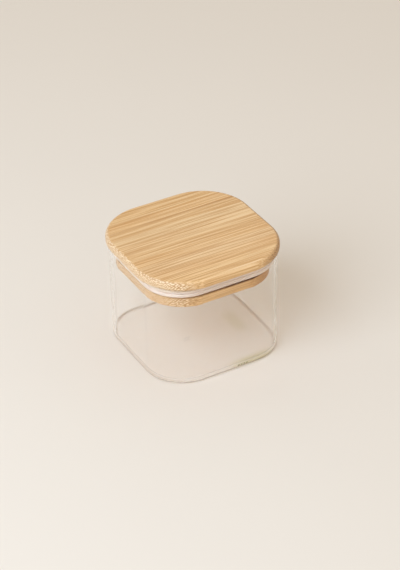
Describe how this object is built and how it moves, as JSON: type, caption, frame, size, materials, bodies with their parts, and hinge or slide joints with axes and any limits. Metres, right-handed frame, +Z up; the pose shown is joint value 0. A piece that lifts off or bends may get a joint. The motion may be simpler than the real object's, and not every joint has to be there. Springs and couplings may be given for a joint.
{
  "type": "lidded glass jar",
  "caption": "Square clear glass food jar with rounded corners, closed by a milled bamboo lid whose plug carries a two-lipped silicone seal.",
  "frame": {"origin": "centre of the jar's foot, on the surface that it stands on", "axes": "+Z up through the lid, +X along the lid's wood grain, +Y across the grain"},
  "size_m": [0.1, 0.1, 0.0782],
  "materials": {
    "clear_glass": "clear, polished",
    "bamboo": "fine sanded and oiled laminated bamboo",
    "milky_silicone": "translucent white silicone, satin"
  },
  "bodies": {
    "jar": {"glass_jar": "clear_glass"},
    "lid": {"bamboo_lid": "bamboo", "silicone_seal": "milky_silicone"}
  },
  "joints": [
    {"name": "lid_lift", "type": "slide", "parent": "jar", "child": "lid", "axis": [0, 0, 1], "range_m": [0, 0.1]}
  ]
}
